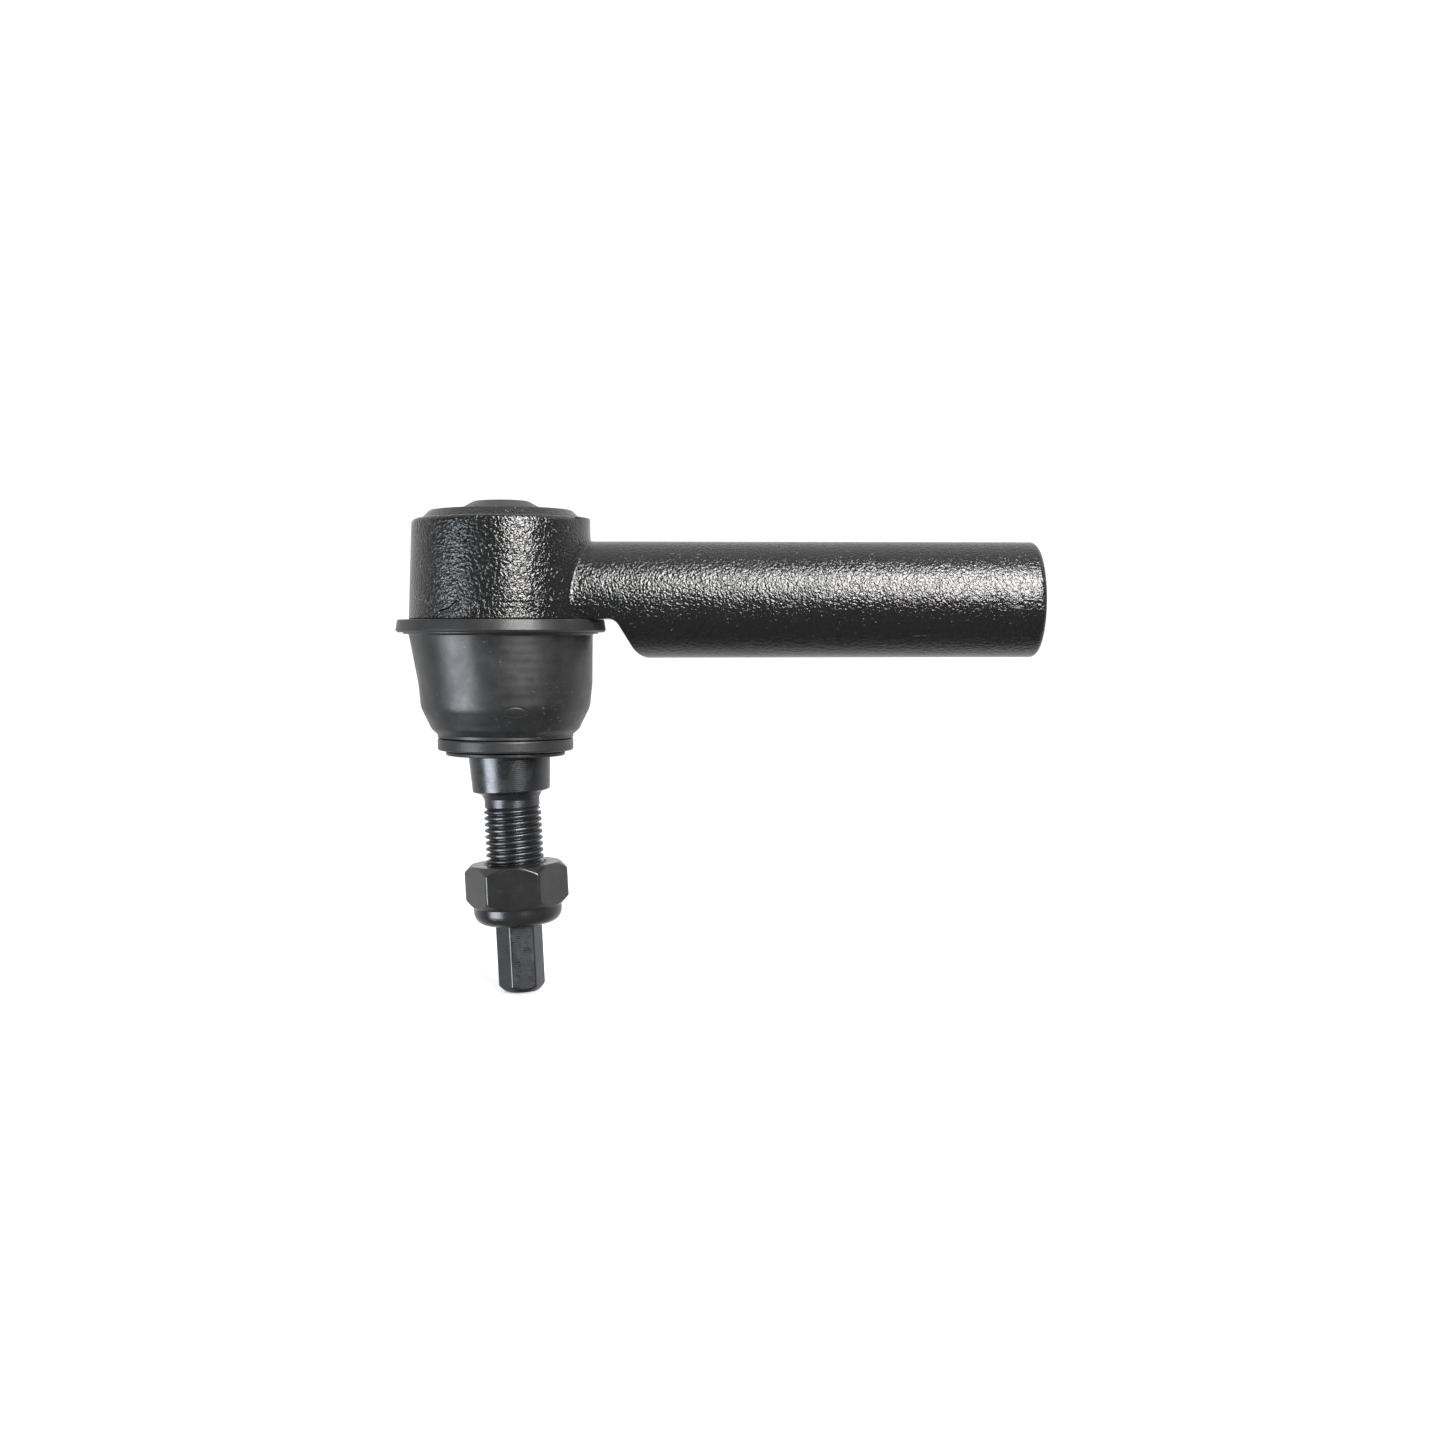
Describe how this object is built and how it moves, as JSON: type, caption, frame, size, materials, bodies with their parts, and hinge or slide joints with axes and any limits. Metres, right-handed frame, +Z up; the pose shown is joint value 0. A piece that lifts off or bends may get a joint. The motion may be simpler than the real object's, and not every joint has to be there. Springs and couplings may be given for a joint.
{
  "type": "tie rod end",
  "caption": "Outer tie rod end: forged socket with a threaded shank, a ball stud under a rubber boot, and a lock nut on the stud.",
  "frame": {"origin": "centre of the shank's threaded mouth, in the plane of its end face", "axes": "+X along the shank, out of its mouth; +Z up, from the stud's thread to the cover; +Y level, across the shank"},
  "size_m": [0.1558, 0.0512, 0.1193],
  "materials": {
    "housing": "gloss black paint over a forged skin",
    "cover_plate": "satin black paint on pressed steel",
    "preload_spring": "plain spring steel, oiled",
    "ball_seat": "moulded acetal",
    "boot_upper_ring": "satin black coated steel",
    "boot_rubber": "moulded black rubber, satin",
    "boot_lower_ring": "dark coated steel",
    "seal_rubber": "black rubber lip",
    "stud_steel": "black oxide on turned steel",
    "nylon": "natural nylon",
    "nut_steel": "black oxide on forged steel"
  },
  "bodies": {
    "housing": {"housing": "housing", "cover_plate": "cover_plate", "preload_spring": "preload_spring", "upper_ball_seat": "ball_seat", "lower_ball_seat": "ball_seat", "boot_upper_ring": "boot_upper_ring"},
    "boot": {"dust_boot": "boot_rubber"},
    "boot_foot": {"boot_lower_ring": "boot_lower_ring", "stud_seal": "seal_rubber"},
    "stud": {"ball_stud": "stud_steel"},
    "nut_travel": {"nylon_insert": "nylon"},
    "nut": {"lock_nut": "nut_steel"}
  },
  "joints": [
    {"name": "stud_swing", "type": "hinge", "parent": "housing", "child": "boot", "pos_m": [-0.1302, 0, 0], "axis": [0, -1, 0], "range_deg": [-23.15, 16.85], "deforming": ["dust_boot"]},
    {"name": "stud_side_swing", "type": "hinge", "parent": "boot", "child": "boot_foot", "pos_m": [-0.1302, 0, 0], "axis": [0.9985, 0, 0.055], "range_deg": [-20, 20]},
    {"name": "stud_spin", "type": "hinge", "parent": "boot_foot", "child": "stud", "pos_m": [-0.1302, 0, 0], "axis": [-0.055, 0, 0.9985], "continuous": true},
    {"name": "nut_slide", "type": "slide", "parent": "stud", "child": "nut_travel", "axis": [-0.055, 0, 0.9985], "range_m": [-0.009, 0.0135]},
    {"name": "nut_turn", "type": "hinge", "parent": "nut_travel", "child": "nut", "pos_m": [-0.1302, 0, 0], "axis": [-0.055, 0, 0.9985], "range_deg": [-2166, 3246]}
  ],
  "couplings": [
    {"joint": "nut_turn", "follows": "nut_slide", "rad_per_m": 4188.8}
  ]
}
